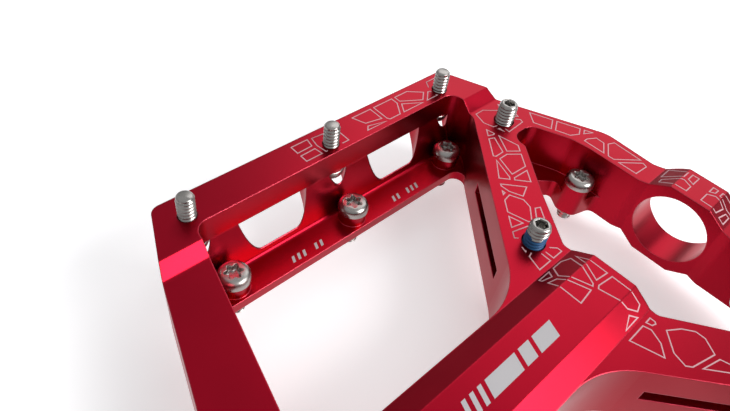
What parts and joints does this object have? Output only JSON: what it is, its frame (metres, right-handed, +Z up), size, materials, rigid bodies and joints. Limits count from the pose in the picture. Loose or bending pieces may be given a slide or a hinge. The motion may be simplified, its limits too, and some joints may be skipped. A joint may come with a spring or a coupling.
{
  "type": "flat bicycle pedal",
  "caption": "Flat bicycle pedal with a thin open platform, screw-in traction pins and a threaded spindle on ball bearings.",
  "frame": {"origin": "where the spindle axis meets the face of the crank arm, at the shoulder of the crank thread", "axes": "+X along the spindle, away from the crank; +Y towards the front of the bicycle; +Z up, square to the tread face"},
  "size_m": [0.1292, 0.1074, 0.0258],
  "materials": {
    "anodised_red": "satin red anodised",
    "anodised_black": "satin black anodised",
    "bare_aluminium": "turned",
    "pin_steel": "bright zinc plate",
    "spindle_steel": "fine turned, nickel plated",
    "bearing_steel": "ground and polished",
    "cage_nylon": "moulded nylon",
    "seal_rubber": "matte black"
  },
  "bodies": {
    "platform": {"platform_body": "anodised_red", "front_rail_pins": "pin_steel", "front_ledge_pins": "pin_steel", "front_member_pins": "pin_steel", "front_bow_pin": "pin_steel", "rear_rail_pins": "pin_steel", "rear_ledge_pins": "pin_steel", "rear_member_pins": "pin_steel", "rear_bow_pin": "pin_steel", "lip_seal": "seal_rubber", "bearing_spacer": "bare_aluminium", "end_cap": "anodised_black", "end_cap_o_ring": "seal_rubber", "inboard_bearing_outer_ring": "bearing_steel", "inboard_bearing_seals": "seal_rubber", "middle_bearing_outer_ring": "bearing_steel", "middle_bearing_seals": "seal_rubber", "outboard_bearing_outer_ring": "bearing_steel", "outboard_bearing_seals": "seal_rubber"},
    "spindle": {"spindle": "spindle_steel", "lock_washer": "spindle_steel", "lock_nut": "spindle_steel", "inboard_bearing_inner_ring": "bearing_steel", "middle_bearing_inner_ring": "bearing_steel", "outboard_bearing_inner_ring": "bearing_steel"},
    "inboard_ball_set": {"inboard_bearing_balls": "bearing_steel", "inboard_bearing_cage": "cage_nylon"},
    "middle_ball_set": {"middle_bearing_balls": "bearing_steel", "middle_bearing_cage": "cage_nylon"},
    "outboard_ball_set": {"outboard_bearing_balls": "bearing_steel", "outboard_bearing_cage": "cage_nylon"}
  },
  "joints": [
    {"name": "spindle_turn", "type": "hinge", "parent": "platform", "child": "spindle", "pos_m": [0.0305, 0, 0], "axis": [1, 0, 0], "continuous": true},
    {"name": "inboard_balls_orbit", "type": "hinge", "parent": "platform", "child": "inboard_ball_set", "pos_m": [0.0205, 0, 0], "axis": [1, 0, 0], "continuous": true},
    {"name": "middle_balls_orbit", "type": "hinge", "parent": "platform", "child": "middle_ball_set", "pos_m": [0.0325, 0, 0], "axis": [1, 0, 0], "continuous": true},
    {"name": "outboard_balls_orbit", "type": "hinge", "parent": "platform", "child": "outboard_ball_set", "pos_m": [0.07, 0, 0], "axis": [1, 0, 0], "continuous": true}
  ],
  "couplings": [
    {"joint": "inboard_balls_orbit", "follows": "spindle_turn", "ratio": 0.44},
    {"joint": "middle_balls_orbit", "follows": "spindle_turn", "ratio": 0.42273},
    {"joint": "outboard_balls_orbit", "follows": "spindle_turn", "ratio": 0.39474}
  ]
}
